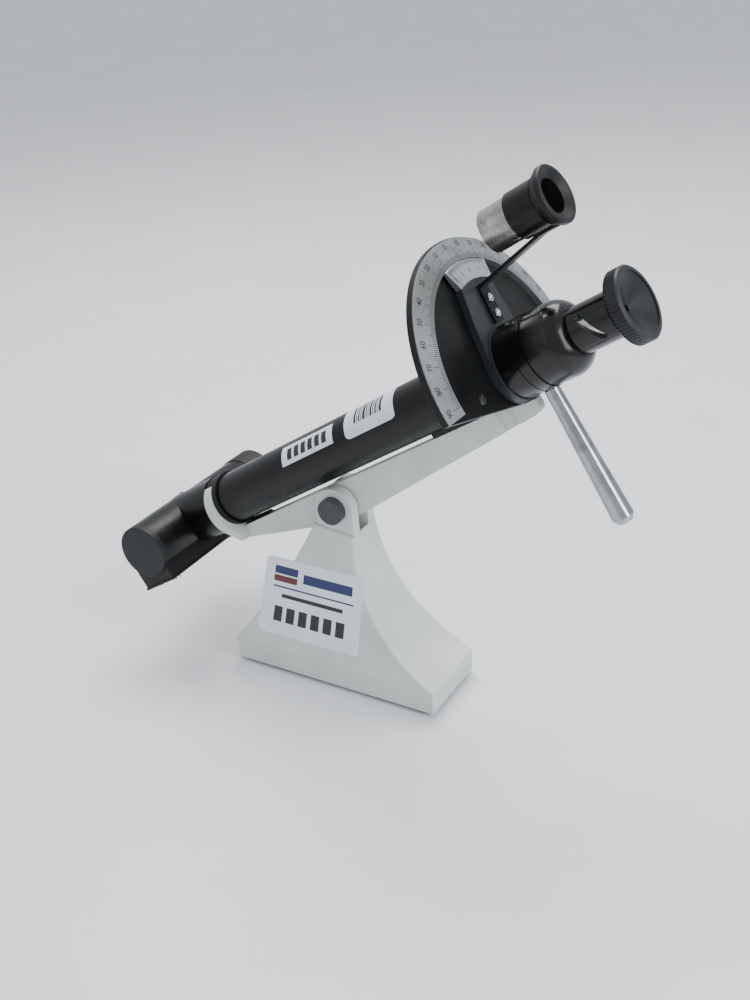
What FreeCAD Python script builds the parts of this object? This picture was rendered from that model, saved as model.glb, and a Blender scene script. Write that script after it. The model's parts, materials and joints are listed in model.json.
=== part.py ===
import FreeCAD, Part
import math
import os

# Small bench polarimeter: a cast stand, a tilting cradle that carries the tube, and a rotary analyser head.
# World frame: X along the stand, Y to the back, Z up, origin on the table under the middle of the stand.
# Tube frame: X up the tube towards the eyepiece, Y to the back, Z square to the tube, and Z = 0 on its axis.
# X = 0 of the tube frame is the foot of the pivot. Lengths are in millimetres and angles in degrees.

V = FreeCAD.Vector

# running and assembly clearances
run_gap = 0.05            # radial gap of a turning or sliding fit
body_gap = 0.4            # gap between faces that pass each other
over_cut = 1.0            # how far a cutter runs past the face it opens

# tube: almost everything round takes its size from this radius
tube_radius = 16.0
tube_wall = 1.6
tube_bore = tube_radius - tube_wall
tube_shoulder = 6.0       # thicker end that carries the head bearing
barrel_length = 240.5
ring_start = -88.0        # ring at the low end of the cradle
tube_start = ring_start - 10.0
tube_end = tube_start + barrel_length
spigot_radius = tube_radius - 2.0
spigot_bore = spigot_radius - 3.0

# pivot and slot
pivot_x = 3.0
pivot_z = 121.5
pivot_bolt_radius = 4.0
pivot_bolt_over = 1.5
pivot_head_radius = 8.2
pivot_head_height = 5.4
pivot_head_edge = 0.35
washer_radius = 8.5
washer_height = 1.2
nut_flats = 13.0
nut_height = 6.0
friction_washer_height = 0.6
friction_washer_radius = 10.0
ear_radius = 12.7
ear_thickness = 6.8
slot_width = 10.4
ear_width = slot_width + 2 * ear_thickness
slot_radius = 20.0
slot_slope = 34.0
slot_reach = 30.0
slot_step = 3.3
slot_right_floor = 14.0

# stand casting
stand_length = 145.0
stand_width = 53.5
slab_height = 15.0
stand_edge = 1.2
shoulder_z = 108.5
shoulder_fall = 3.0       # the ledge runs down to its right end by this much
shoulder_left = -12.0
shoulder_right = 16.0
shoulder_width = ear_width + 2.6
left_sag = 3.5
right_sag = 14.7
pad_height = 3.0
pad_inset = 3.5
pad_corner = 4.0

# tilt of the tube as the instrument stands
tilt = 31.5
axis_lift = tube_radius + 14.5    # tube axis above the pivot

# cradle arm
arm_thickness = slot_width - 2 * (friction_washer_height + body_gap)
arm_top = -tube_radius - 2.6
hub_radius = 12.2
arm_hub_half = 14.7
arm_hub_left = -32.0
arm_hub_low = -axis_lift - 10.5
arm_hub_rise = 4.2
arm_tip_x = tube_end + 9.5
arm_tip_low = arm_top - 10.4
arm_tip_round = 3.5
pocket_start = arm_tip_x - 25.0
pocket_length = 11.0
pocket_depth = 1.8
saddle_start = 84.0
saddle_length = 30.0
saddle_screw_spacing = 18.0
saddle_screw_radius = 2.0
saddle_head_radius = 3.5
saddle_head_height = 3.5
saddle_head_low = arm_top - 11.9
socket_key_radius = 1.6
socket_key_depth = 2.1

# open ring that holds the tube, hung a little below the tube's axis
collar_radius = tube_radius + 1.4
collar_width = 10.5
ring_width = 6.5
ring_drop = 3.0
ring_radius = collar_radius + 2.8
ring_top = tube_radius - 2.0
ring_foot_half = 7.0
ring_foot_low = -ring_radius - ring_drop - 3.2
arm_left_x = ring_start + 4.0

# clamp screw under the tube
clamp_radius = 3.0
clamp_start = ring_start + 12.0
clamp_length = 18.0
clamp_drop = tube_radius + clamp_radius + body_gap
clamp_teeth = 18
clamp_tooth_depth = 0.35
clamp_shank_radius = 1.6
clamp_collar = 1.5

# lamp housing, a cross tube at the low end
lamp_axis_x = ring_start - 40.0
lamp_radius = tube_radius + 1.5
lamp_rear_radius = lamp_radius - 0.8
lamp_bore = lamp_radius - 2.5
lamp_front_y = -44.0
lamp_step_y = 0.0
lamp_rear_y = 57.0
front_cap_height = 4.0
front_cap_edge = 0.5
cap_spigot = 5.0
cap_wall = 2.0
rear_cap_radius = lamp_rear_radius + 0.6
rear_cap_end = 76.0
rear_cap_floor = 6.0
rear_groove_width = 1.2
rear_groove_depth = 0.6
stub_radius = tube_radius + 2.0
inlet_radius = 5.8
inlet_neck = 4.8
inlet_height = 3.0
inlet_hole = 3.6
inlet_depth = 4.5
mirror_size = 1.6 * lamp_bore
mirror_height = 1.44 * lamp_bore
mirror_thickness = 1.5
mirror_plug_start = lamp_front_y + 10.0
mirror_plug_end = 1.2 * lamp_bore
socket_radius = 9.0
socket_length = 14.0
socket_stem_radius = 3.0
socket_pin_length = 24.0
bulb_radius = 6.0
bulb_cap_radius = 4.8
bulb_cap_seat = 6.0
bulb_neck_radius = 4.2
bulb_neck = 8.0
bulb_lift = 2.0
set_screw_radius = 1.8
set_screw_root = 0.2
set_screw_proud = 1.3
set_screw_y = 6.0

# shoe under the lamp housing
shoe_offset = -2.5
shoe_length = 27.0
shoe_front_y = -47.0
shoe_back_y = 24.0
shoe_low = -lamp_radius - 6.5
shoe_high = -lamp_radius + 8.5
shoe_plate_height = 1.6
shoe_plate_over = 0.8
shoe_screw_radius = 1.6
shoe_screw_length = 9.0
shoe_screw_head = 2.8
shoe_screw_height = 1.2
shoe_screw_inset = 6.0
shoe_screw_half = 7.5

# colour filter, polariser and sample tube
filter_x = ring_start - 18.0
filter_radius = tube_bore - 1.4
filter_thickness = 2.0
cell_lip = 1.5            # how far a cell overlaps the disc it holds
filter_cell_side = 2.0
polariser_x = ring_start
cell_width = 8.0
polaroid_radius = tube_bore - 4.4
polaroid_thickness = 1.6
sample_start = polariser_x + cell_width + 8.0
sample_length = 200.0
sample_radius = 7.5
sample_bore = 5.0
sample_cap_radius = tube_bore
sample_cap_width = 12.0
sample_cap_face = 2.0
sample_window_thickness = 2.0
sample_window_radius = 8.5
sample_cap_hole = 4.5

# half-round scale at the end of the tube
plate_start = tube_end
plate_thickness = 3.5
plate_radius = 72.4
plate_drop = 4.6
plate_hub_radius = tube_radius + 5.4
ring_outer = plate_radius - 0.6
ring_inner = ring_outer - 12.4
ring_edge = 1.0
ring_rise = 2.2
scale_screw_y = 35.8
scale_screw_z = -5.2
scale_screw_radius = 2.9
scale_screw_height = 1.0
scale_screw_shank = 1.4
scale_slot_angle = 40.0
slot_wide = 0.7
slot_deep = 0.5

# analyser head, turned a little from zero as it stands
analyser_rest = 6.0
analyser_back = plate_start + plate_thickness + body_gap
analyser_hub_radius = plate_hub_radius - 0.1
analyser_face = plate_start + 8.0
hub_face = plate_start + 9.5
spigot_end = hub_face + 8.0
analyser_half_width = 14.4
analyser_wide_half = 18.6
analyser_wide_z = 25.0
vernier_inner = ring_inner - 11.9
vernier_half_angle = 19.5
vernier_seat = plate_start + 5.1
vernier_low_edge = vernier_seat + 1.8
vernier_high_edge = vernier_seat + 4.0
tongue_radius = vernier_inner + 8.5
tongue_half_width = 9.0

# eyepiece housing, with two grooves and a rounded shoulder
housing_radius = tube_radius + 4.5
groove_x = hub_face + 11.0
groove_width = 0.6
groove_depth = 0.4
step_x = hub_face + 17.4
step_width = 1.0
step_depth = 0.7
housing_front_radius = housing_radius - 0.3
housing_end = hub_face + 29.0
housing_round_x = 7.6
housing_round_r = 2.3
housing_nose_end = housing_end + 11.0
analyser_cell_start = hub_face + 9.5
analyser_cell_width = 9.0

# lever rod
rod_x = hub_face + 10.3
rod_root = spigot_radius + 1.0
rod_neck_radius = 4.2
rod_root_radius = 3.2
rod_end_radius = 6.3
rod_end = 97.5
rod_tip_radius = 4.6
rod_tip = 100.5

# eyepiece tube and its turning focus
eye_tube_radius = 12.4
eye_tube_wall = 1.8
eye_tube_bore = eye_tube_radius - eye_tube_wall
eye_tube_start = housing_end
eye_tube_end = eye_tube_start + 34.5
housing_nose_radius = eye_tube_radius + 1.2
helix_start_x = eye_tube_start + 17.6
helix_travel = 9.0
helix_turn = 68.0
helix_start_angle = 56.0
helix_width = 3.6
helix_steps = 28
draw_bore = eye_tube_bore - 1.6
draw_start = eye_tube_start + 8.0
guide_radius = 1.4
guide_proud = 0.7
cap_radius = eye_tube_radius + 7.2
cap_start = eye_tube_end + 3.5
cap_end = cap_start + 8.0
cap_rim = 2.9
cap_edge = 0.8
cap_web = 1.5
cap_root = 2.0
cap_hole_radius = 2.0
dish_depth = 7.6
knurl_count = 60
knurl_radius = 0.7
cell_radius = draw_bore - run_gap
cell_length = 14.0
cell_start = draw_start + 2.0
eye_lens_radius = cell_radius - 0.95
eye_lens_thickness = 3.0
eye_lens_curve = 2.2      # radius of the curved face in lens radii
eye_lens_bulge = 1.2

# reading loupe on its strip
strip_thickness = 1.8
strip_width = 8.4
strip_offset = 2.9
strip_seat = 0.5
strip_foot_low = analyser_hub_radius + 0.9
strip_bend = strip_foot_low + 21.2
strip_screws = (strip_foot_low + 4.6, strip_foot_low + 13.2)
strip_screw_radius = 2.3
strip_screw_height = 1.0
strip_screw_shank = 1.3
strip_screw_floor = 0.6
loupe_lift = strip_bend + 20.6
loupe_barrel_radius = 11.6
loupe_barrel_bore = loupe_barrel_radius - 1.2
loupe_start = hub_face + 20.0
sleeve_start = hub_face + 37.0
sleeve_end = sleeve_start + 16.2
sleeve_radius = loupe_barrel_radius + 1.0
eyecup_gap = 0.9
eyecup_end = sleeve_end + 7.8
eyecup_radius = sleeve_radius + 2.9
eyecup_neck = sleeve_radius + 0.4
eyecup_flare = 3.9
eyecup_spigot = 6.0
eyecup_edge = 0.6
eyecup_bevel = 2.6
eyecup_lip = 2.2
eyecup_hole = loupe_barrel_bore - 1.3
eyecup_teeth = 64
eyecup_tooth = 0.4
loupe_lens_radius = loupe_barrel_bore
loupe_lens_thickness = 4.0
loupe_lens_curve = 3.0    # radius of each face in lens radii
loupe_lens_bulge = 1.2
lens_bevel = 1.6
strip_pad_start = sleeve_start + 6.5
strip_pad_end = sleeve_end - 1.7


def cylinder(radius, length, base, direction):
    """Solid cylinder from base along direction."""
    return Part.makeCylinder(radius, length, base, direction)


def tube(outer, bore, start, end):
    """Tube along the tube axis, from start to end."""
    wall = cylinder(outer, end - start, V(start, 0, 0), V(1, 0, 0))
    hole = cylinder(bore, end - start + 2 * over_cut, V(start - over_cut, 0, 0), V(1, 0, 0))
    return wall.cut(hole)


def disc(radius, start, end):
    """Round slug along the tube axis."""
    return cylinder(radius, end - start, V(start, 0, 0), V(1, 0, 0))


def reaching(radius, start, length):
    """Round slug from start, up or down the tube by a signed length."""
    return disc(radius, min(start, start + length), max(start, start + length))


def turned(points):
    """Solid turned about the tube axis from (x, radius) points."""
    corners = [V(x, 0, r) for x, r in points]
    face = Part.Face(Part.makePolygon(corners + corners[:1]))
    return face.revolve(V(0, 0, 0), V(1, 0, 0), 360)


def box(low, high):
    """Box between two opposite corners."""
    size = [b - a for a, b in zip(low, high)]
    return Part.makeBox(size[0], size[1], size[2], V(*low))


def plate_xz(edges, half_width):
    """Plate of the given XZ outline, centred on Y = 0."""
    face = Part.Face(Part.Wire(edges))
    face.translate(V(0, -half_width, 0))
    return face.extrude(V(0, 2 * half_width, 0))


def rounded_rim(radius, height, base, edge):
    """Short cylinder along Y whose front rim, at its base, is rounded."""
    slug = cylinder(radius, height, base, V(0, 1, 0))
    rims = [e for e in slug.Edges if e.Closed and abs(e.CenterOfMass.y - base.y) < edge]
    return slug.makeFillet(edge, rims)


def line(a, b):
    return Part.LineSegment(a, b).toShape()


def arc(a, middle, b):
    return Part.Arc(a, middle, b).toShape()


def sagged(a, b, sag):
    """Arc from a to b whose middle hangs by sag towards the stand's axis."""
    middle = (a + b) * 0.5
    along = (b - a).normalize()
    inward = V(-along.z, 0, along.x)
    return arc(a, middle + inward * sag, b)


def slotted_head(radius, height, base, direction, across):
    """Screw head with one straight slot."""
    head = cylinder(radius, height, base, direction)
    cutter = box((-2 * radius, -slot_wide / 2, height - slot_deep), (2 * radius, slot_wide / 2, 2 * height))
    cutter.Placement = FreeCAD.Placement(base, FreeCAD.Rotation(across, V(0, 0, 0), direction, "ZXY"))
    return head.cut(cutter)


def knurl(solid, low, high, count, depth):
    """Round flutes between two (x, radius) points, cut round the rim of a solid."""
    flutes = []
    for i in range(count):
        a = 2 * math.pi * i / count
        foot = V(low[0], low[1] * math.sin(a), low[1] * math.cos(a))
        tip = V(high[0], high[1] * math.sin(a), high[1] * math.cos(a))
        flutes.append(cylinder(depth, (tip - foot).Length, foot, tip - foot))
    return solid.cut(Part.makeCompound(flutes))


# placing the tube and analyser frames in the world
tube_turn = FreeCAD.Rotation(V(0, 1, 0), -tilt)
tube_origin = V(pivot_x, 0, pivot_z) + tube_turn.multVec(V(0, 0, axis_lift))
tube_frame = FreeCAD.Placement(tube_origin, tube_turn)
analyser_turn = FreeCAD.Placement(V(0, 0, 0), FreeCAD.Rotation(V(1, 0, 0), -analyser_rest))
analyser_frame = tube_frame.multiply(analyser_turn)
stand_frame = FreeCAD.Placement()


def save(name, shape, frame):
    """Write one node in the world frame."""
    if shape.ShapeType == "Compound" and len(shape.Solids) == 1:
        shape = shape.Solids[0]
    placed = shape.copy()
    placed.Placement = frame.multiply(shape.Placement)
    if not placed.isValid():
        raise ValueError(name + " is not a valid solid")
    placed.exportStep("parts/" + name + ".step")


# Stand and pivot, in the world frame.

def make_stand():
    """Flared pillar on a slab, with two ears and a slot for the cradle."""
    half = stand_length / 2
    low = pad_height
    top = pad_height + slab_height
    corners = [V(-half, 0, low), V(-half, 0, top), V(shoulder_left, 0, shoulder_z),
               V(shoulder_right, 0, shoulder_z - shoulder_fall), V(half, 0, top), V(half, 0, low)]
    side = [line(corners[0], corners[1]),
            sagged(corners[1], corners[2], -left_sag),
            line(corners[2], corners[3]),
            sagged(corners[3], corners[4], -right_sag),
            line(corners[4], corners[5]),
            line(corners[5], corners[0])]
    profile = plate_xz(side, stand_width)
    wide = stand_width / 2
    narrow = shoulder_width / 2
    end = [V(0, -wide, low), V(0, -wide, top), V(0, -narrow, shoulder_z),
           V(0, narrow, shoulder_z), V(0, wide, top), V(0, wide, low)]
    face = Part.Face(Part.makePolygon(end + end[:1]))
    face.translate(V(-stand_length, 0, 0))
    body = profile.common(face.extrude(V(2 * stand_length, 0, 0)))
    corner_edges = []
    near = 0.1
    for edge in body.Edges:
        middle = edge.valueAt((edge.FirstParameter + edge.LastParameter) / 2)
        on_side = low + near < middle.z < shoulder_z - shoulder_fall - near
        if on_side and abs(middle.y) > narrow - near:
            corner_edges.append(edge)
    body = body.makeFillet(stand_edge, corner_edges)
    ear = cylinder(ear_radius, ear_width, V(pivot_x, -ear_width / 2, pivot_z), V(0, 1, 0))
    post = box((pivot_x - ear_radius, -ear_width / 2, shoulder_z - shoulder_fall - over_cut),
               (pivot_x + ear_radius, ear_width / 2, pivot_z))
    body = body.fuse(ear).fuse(post).removeSplitter()
    return body.cut(make_slot()).cut(pivot_bore())


def make_slot():
    """Room for the arm to swing: a round bottom and a floor that falls away to the left."""
    half = slot_width / 2
    pivot = V(pivot_x, 0, pivot_z)
    bowl = cylinder(slot_radius, slot_width, pivot - V(0, half, 0), V(0, 1, 0))
    drop = math.tan(math.radians(slot_slope))
    start = slot_radius - slot_step
    above = 2 * ear_radius
    points = [V(0, 0, -start), V(-slot_reach, 0, -start - slot_reach * drop),
              V(-slot_reach - above, 0, above), V(above, 0, above), V(above, 0, -slot_right_floor)]
    corners = [pivot + p for p in points]
    edges = [line(a, b) for a, b in zip(corners, corners[1:] + corners[:1])]
    return bowl.fuse(plate_xz(edges, half))


def pivot_bore():
    return cylinder(pivot_bolt_radius, 2 * stand_width, V(pivot_x, -stand_width, pivot_z), V(0, 1, 0))


def make_base_pad():
    """Flat rubber pad under the slab, set in from its edges; the stand rests on it."""
    x = stand_length / 2 - pad_inset
    y = stand_width / 2 - pad_inset
    pad = box((-x, -y, 0), (x, y, pad_height))
    corners = [e for e in pad.Edges if abs(e.CenterOfMass.x) > x - pad_inset and abs(e.CenterOfMass.y) > y - pad_inset]
    return pad.makeFillet(pad_corner, corners)


def make_pivot_bolt():
    """Shouldered bolt with a large plain head at the front."""
    front = -ear_width / 2
    back = ear_width / 2 + washer_height + nut_height + pivot_bolt_over
    face = front - pivot_head_height
    head = rounded_rim(pivot_head_radius, pivot_head_height, V(pivot_x, face, pivot_z), pivot_head_edge)
    shank = cylinder(pivot_bolt_radius, back - front, V(pivot_x, front, pivot_z), V(0, 1, 0))
    return head.fuse(shank).removeSplitter()


def make_pivot_washer():
    start = V(pivot_x, ear_width / 2, pivot_z)
    return cylinder(washer_radius, washer_height, start, V(0, 1, 0)).cut(pivot_bore())


def make_pivot_nut():
    """Hexagon nut behind the rear ear."""
    start = ear_width / 2 + washer_height
    corner = nut_flats / math.sqrt(3)
    points = [V(pivot_x + corner * math.cos(math.radians(60 * i)), start,
                pivot_z + corner * math.sin(math.radians(60 * i))) for i in range(6)]
    hexagon = Part.Face(Part.makePolygon(points + points[:1])).extrude(V(0, nut_height, 0))
    return hexagon.cut(pivot_bore())


def make_friction_washers():
    """One fibre washer against each ear, inside the slot."""
    washers = []
    for side in (-1, 1):
        start = min(side * slot_width / 2, side * (slot_width / 2 - friction_washer_height))
        ring = cylinder(friction_washer_radius, friction_washer_height, V(pivot_x, start, pivot_z), V(0, 1, 0))
        washers.append(ring.cut(pivot_bore()))
    return Part.makeCompound(washers)


# Cradle and barrel, in the tube frame.

def make_cradle():
    """Tapered arm with a hub for the pivot and a ring for the tube's low end."""
    half = arm_thickness / 2
    corners = [V(arm_left_x, 0, ring_foot_low), V(arm_left_x, 0, arm_top), V(arm_tip_x, 0, arm_top),
               V(arm_tip_x, 0, arm_tip_low), V(arm_hub_half, 0, arm_hub_low), V(-arm_hub_half, 0, arm_hub_low),
               V(arm_hub_left, 0, arm_hub_low + arm_hub_rise)]
    edges = [line(a, b) for a, b in zip(corners, corners[1:] + corners[:1])]
    arm = plate_xz(edges, half)
    hub = cylinder(hub_radius, arm_thickness, V(0, -half, -axis_lift), V(0, 1, 0))
    ends = [e for e in arm.Edges if abs(e.CenterOfMass.x - arm_tip_x) < body_gap and abs(e.CenterOfMass.y) < body_gap]
    arm = arm.makeFillet(arm_tip_round, ends)
    body = arm.fuse(hub).fuse(make_ring_plate()).removeSplitter()
    relief = cylinder(plate_hub_radius, arm_tip_x, V(plate_start, 0, 0), V(1, 0, 0))
    swing = cylinder(analyser_hub_radius + body_gap, arm_tip_x, V(plate_start + plate_thickness, 0, 0), V(1, 0, 0))
    pocket = box((pocket_start, -arm_thickness, 2 * arm_hub_low),
                 (pocket_start + pocket_length, -half + pocket_depth, 0))
    bore = cylinder(pivot_bolt_radius + run_gap, 2 * arm_thickness, V(0, -arm_thickness, -axis_lift), V(0, 1, 0))
    for cutter in (relief, swing, pocket, bore, clamp_channel(), saddle_holes()):
        body = body.cut(cutter)
    return body


def make_ring_plate():
    """Open ring with two straight flanks that run down into the arm."""
    outer = cylinder(ring_radius, ring_width, V(ring_start, 0, -ring_drop), V(1, 0, 0))
    foot = -ring_foot_low - ring_drop
    flank = math.acos(ring_radius / math.hypot(ring_foot_half, foot))
    a = flank + math.atan2(ring_foot_half, foot)
    side_y = ring_radius * math.sin(a)
    side_z = -ring_radius * math.cos(a) - ring_drop
    points = [V(ring_start, -ring_foot_half, ring_foot_low), V(ring_start, -side_y, side_z),
              V(ring_start, 0, -ring_drop), V(ring_start, side_y, side_z),
              V(ring_start, ring_foot_half, ring_foot_low)]
    skirt = Part.Face(Part.makePolygon(points + points[:1])).extrude(V(ring_width, 0, 0))
    hole = disc(collar_radius, ring_start - over_cut, ring_start + ring_width + over_cut)
    mouth = box((ring_start - over_cut, -ring_radius, ring_top),
                (ring_start + ring_width + over_cut, ring_radius, 2 * ring_radius))
    return outer.fuse(skirt).removeSplitter().cut(hole).cut(mouth)


def clamp_channel():
    """Trough in the arm's top for the clamp screw, with its hole in the ring."""
    room = clamp_radius + body_gap
    end = clamp_start + clamp_length
    head = cylinder(room, clamp_length + 2 * body_gap, V(clamp_start - body_gap, 0, -clamp_drop), V(1, 0, 0))
    above = box((clamp_start - body_gap, -room, -clamp_drop), (end + body_gap, room, 0))
    shank = cylinder(clamp_shank_radius + run_gap, clamp_start - ring_start, V(ring_start, 0, -clamp_drop),
                     V(1, 0, 0))
    return head.fuse(above).fuse(shank)


def make_clamp_screw():
    """Knurled screw that lies under the tube and draws the collar tight."""
    head = cylinder(clamp_radius, clamp_length, V(clamp_start, 0, -clamp_drop), V(1, 0, 0))
    flutes = []
    for i in range(clamp_teeth):
        a = 2 * math.pi * i / clamp_teeth
        centre = V(clamp_start, clamp_radius * math.sin(a), clamp_radius * math.cos(a) - clamp_drop)
        flutes.append(cylinder(clamp_tooth_depth, clamp_length, centre, V(1, 0, 0)))
    shank = cylinder(clamp_shank_radius, clamp_start - ring_start - clamp_collar,
                     V(ring_start + clamp_collar, 0, -clamp_drop), V(1, 0, 0))
    return head.cut(Part.makeCompound(flutes)).fuse(shank)


def saddle_places():
    middle = saddle_start + saddle_length / 2
    return [middle - saddle_screw_spacing / 2, middle + saddle_screw_spacing / 2]


def saddle_holes():
    """Holes for the shanks, with counterbores from below for the heads."""
    holes = []
    depth = saddle_head_height
    for x in saddle_places():
        shank = cylinder(saddle_screw_radius, -saddle_head_low - tube_bore, V(x, 0, saddle_head_low), V(0, 0, 1))
        head = cylinder(saddle_head_radius, 2 * depth, V(x, 0, saddle_head_low - depth), V(0, 0, 1))
        holes.append(shank.fuse(head))
    return Part.makeCompound(holes)


def make_saddle():
    """Block between the arm and the tube, hollowed to the tube."""
    half = arm_thickness / 2
    block = box((saddle_start, -half, arm_top), (saddle_start + saddle_length, half, -tube_bore))
    body = disc(tube_radius, saddle_start, saddle_start + saddle_length)
    return block.cut(body).cut(saddle_holes())


def make_saddle_screws():
    """Two cap screws up through the arm into the tube wall."""
    screws = []
    for x in saddle_places():
        shank = cylinder(saddle_screw_radius, -saddle_head_low - tube_bore, V(x, 0, saddle_head_low), V(0, 0, 1))
        head = cylinder(saddle_head_radius, saddle_head_height, V(x, 0, saddle_head_low), V(0, 0, 1))
        socket = cylinder(socket_key_radius, socket_key_depth, V(x, 0, saddle_head_low), V(0, 0, 1))
        screws.append(head.fuse(shank).cut(socket))
    return Part.makeCompound(screws)


def make_collar():
    """Dark band between the ring and the barrel."""
    return tube(collar_radius, tube_radius, ring_start, ring_start + collar_width)


def make_main_tube():
    """Long black barrel with a step and a spigot that the head turns on."""
    barrel = tube(tube_radius, tube_bore, tube_start, tube_end)
    shoulder = tube(tube_radius, spigot_bore, tube_end - tube_shoulder, tube_end)
    holes = saddle_holes()
    return barrel.fuse(shoulder).removeSplitter().cut(holes)


def make_bearing():
    """Fixed bush at the head end: the analyser housing turns on it."""
    flange = tube(tube_radius, spigot_bore, tube_end, plate_start + plate_thickness)
    spigot = tube(spigot_radius, spigot_bore, plate_start + plate_thickness, spigot_end)
    return flange.fuse(spigot).removeSplitter()


# Lamp housing.

def cross(radius, start, end):
    """Cylinder along Y through the lamp axis."""
    return cylinder(radius, end - start, V(lamp_axis_x, start, 0), V(0, 1, 0))


def make_lamp_housing():
    """Cross tube with the stub that takes the barrel."""
    body = cross(lamp_radius, lamp_front_y, lamp_step_y).fuse(cross(lamp_rear_radius, lamp_step_y, lamp_rear_y))
    stub = disc(stub_radius, lamp_axis_x, ring_start - body_gap)
    body = body.fuse(stub).removeSplitter()
    body = body.cut(cross(lamp_bore, lamp_front_y - over_cut, lamp_rear_y + over_cut))
    body = body.cut(disc(tube_radius, tube_start, ring_start)).cut(disc(tube_bore, lamp_axis_x, tube_start))
    return body.cut(set_screw_hole()).cut(shoe_screw_holes())


def set_screw_hole():
    return cylinder(set_screw_radius, lamp_radius, V(lamp_axis_x, set_screw_y, lamp_bore + set_screw_root), V(0, 0, 1))


def make_set_screw():
    """Small screw that stands a little proud on top of the housing."""
    base = V(lamp_axis_x, set_screw_y, lamp_bore + set_screw_root)
    height = lamp_rear_radius - lamp_bore - set_screw_root + set_screw_proud
    return slotted_head(set_screw_radius, height, base, V(0, 0, 1), V(0, 1, 0))


def make_front_cap():
    """Flat cap with a spigot."""
    base = V(lamp_axis_x, lamp_front_y - front_cap_height, 0)
    face = rounded_rim(lamp_radius, front_cap_height, base, front_cap_edge)
    end = lamp_front_y + cap_spigot
    plug = cross(lamp_bore, lamp_front_y, end)
    return face.fuse(plug).cut(cross(lamp_bore - cap_wall, lamp_front_y, end + over_cut)).removeSplitter()


def make_rear_cap():
    """Deep cap with a groove at its root; it carries the lamp socket."""
    skirt = cross(rear_cap_radius, lamp_rear_y, rear_cap_end)
    groove = cross(rear_cap_radius + over_cut, lamp_rear_y, lamp_rear_y + rear_groove_width)
    groove = groove.cut(cross(rear_cap_radius - rear_groove_depth, lamp_rear_y, lamp_rear_y + rear_groove_width))
    plug = cross(lamp_bore, lamp_rear_y - cap_spigot, lamp_rear_y)
    hollow = cross(lamp_bore - cap_wall, lamp_rear_y - cap_spigot - over_cut, rear_cap_end - rear_cap_floor)
    hole = cross(inlet_neck, rear_cap_end - rear_cap_floor - over_cut, rear_cap_end + over_cut)
    return skirt.cut(groove).fuse(plug).removeSplitter().cut(hollow).cut(hole)


def make_lamp_inlet():
    """Round supply inlet in the middle of the rear cap."""
    flange = cross(inlet_radius, rear_cap_end, rear_cap_end + inlet_height)
    body = cross(inlet_neck, rear_cap_end - rear_cap_floor, rear_cap_end)
    hole = cross(inlet_hole, rear_cap_end - inlet_depth, rear_cap_end + inlet_height + over_cut)
    return flange.fuse(body).removeSplitter().cut(hole)


def make_lamp_socket():
    """Socket on a stem inside the rear cap."""
    start = rear_cap_end - rear_cap_floor
    cup_end = start - socket_pin_length
    mouth = cup_end - socket_length
    stem = cross(socket_stem_radius, cup_end, start)
    cup = cross(socket_radius, mouth, cup_end)
    hole = cross(bulb_cap_radius, mouth - over_cut, mouth + bulb_cap_seat)
    return cup.cut(hole).fuse(stem).removeSplitter()


def make_bulb():
    """Small lamp: a cap in the socket and a round glass envelope."""
    mouth = rear_cap_end - rear_cap_floor - socket_pin_length - socket_length
    base = cross(bulb_cap_radius, mouth - bulb_lift, mouth + bulb_cap_seat)
    centre = V(lamp_axis_x, mouth - bulb_lift - bulb_neck, 0)
    globe = Part.makeSphere(bulb_radius, centre)
    neck = cross(bulb_neck_radius, mouth - bulb_neck, mouth - bulb_lift)
    return globe.fuse(neck).fuse(base).removeSplitter()


def mirror_frame():
    """Placement at the crossing of the two axes, square to the fold."""
    return FreeCAD.Placement(V(lamp_axis_x, 0, 0), FreeCAD.Rotation(V(0, 0, 1), -45))


def make_mirror():
    """Plane mirror that folds the lamp's light up the tube."""
    half = mirror_size / 2
    glass = box((-half, -mirror_thickness, -mirror_height / 2), (half, 0, mirror_height / 2))
    glass.Placement = mirror_frame()
    return glass


def make_mirror_block():
    """Round plug with a face at 45 degrees that holds the mirror."""
    plug = cross(lamp_bore, mirror_plug_start, mirror_plug_end)
    reach = 4 * lamp_bore
    room = box((-reach, -mirror_thickness, -reach), (reach, reach, reach))
    room.Placement = mirror_frame()
    return plug.cut(room)


def make_filter():
    return disc(filter_radius, filter_x, filter_x + filter_thickness)


def make_filter_cell():
    """Ring that holds the colour filter in the barrel."""
    ring = tube(tube_bore, filter_radius - cell_lip, filter_x - filter_cell_side,
                filter_x + filter_thickness + filter_cell_side)
    return ring.cut(make_filter())


# Shoe.

def shoe_screw_places():
    rows = (shoe_front_y + shoe_screw_inset, shoe_back_y - shoe_screw_inset)
    return [(lamp_axis_x + side * shoe_screw_half, y) for side in (-1, 1) for y in rows]


def make_shoe():
    """Block hollowed to the underside of the housing."""
    half = shoe_length / 2
    middle = lamp_axis_x + shoe_offset
    block = box((middle - half, shoe_front_y, shoe_low + shoe_plate_height), (middle + half, shoe_back_y, shoe_high))
    body = cross(lamp_radius, shoe_front_y - over_cut, shoe_back_y + over_cut)
    stub = disc(stub_radius, lamp_axis_x, lamp_axis_x + shoe_length)
    return block.cut(body).cut(stub).cut(shoe_screw_holes())


def make_shoe_plate():
    half = shoe_length / 2 + shoe_plate_over
    middle = lamp_axis_x + shoe_offset
    plate = box((middle - half, shoe_front_y - shoe_plate_over, shoe_low),
                (middle + half, shoe_back_y + shoe_plate_over, shoe_low + shoe_plate_height))
    return plate.cut(shoe_screw_holes())


def shoe_screw_holes():
    holes = []
    for x, y in shoe_screw_places():
        holes.append(cylinder(shoe_screw_radius, shoe_screw_length, V(x, y, shoe_low), V(0, 0, 1)))
    return Part.makeCompound(holes)


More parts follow.
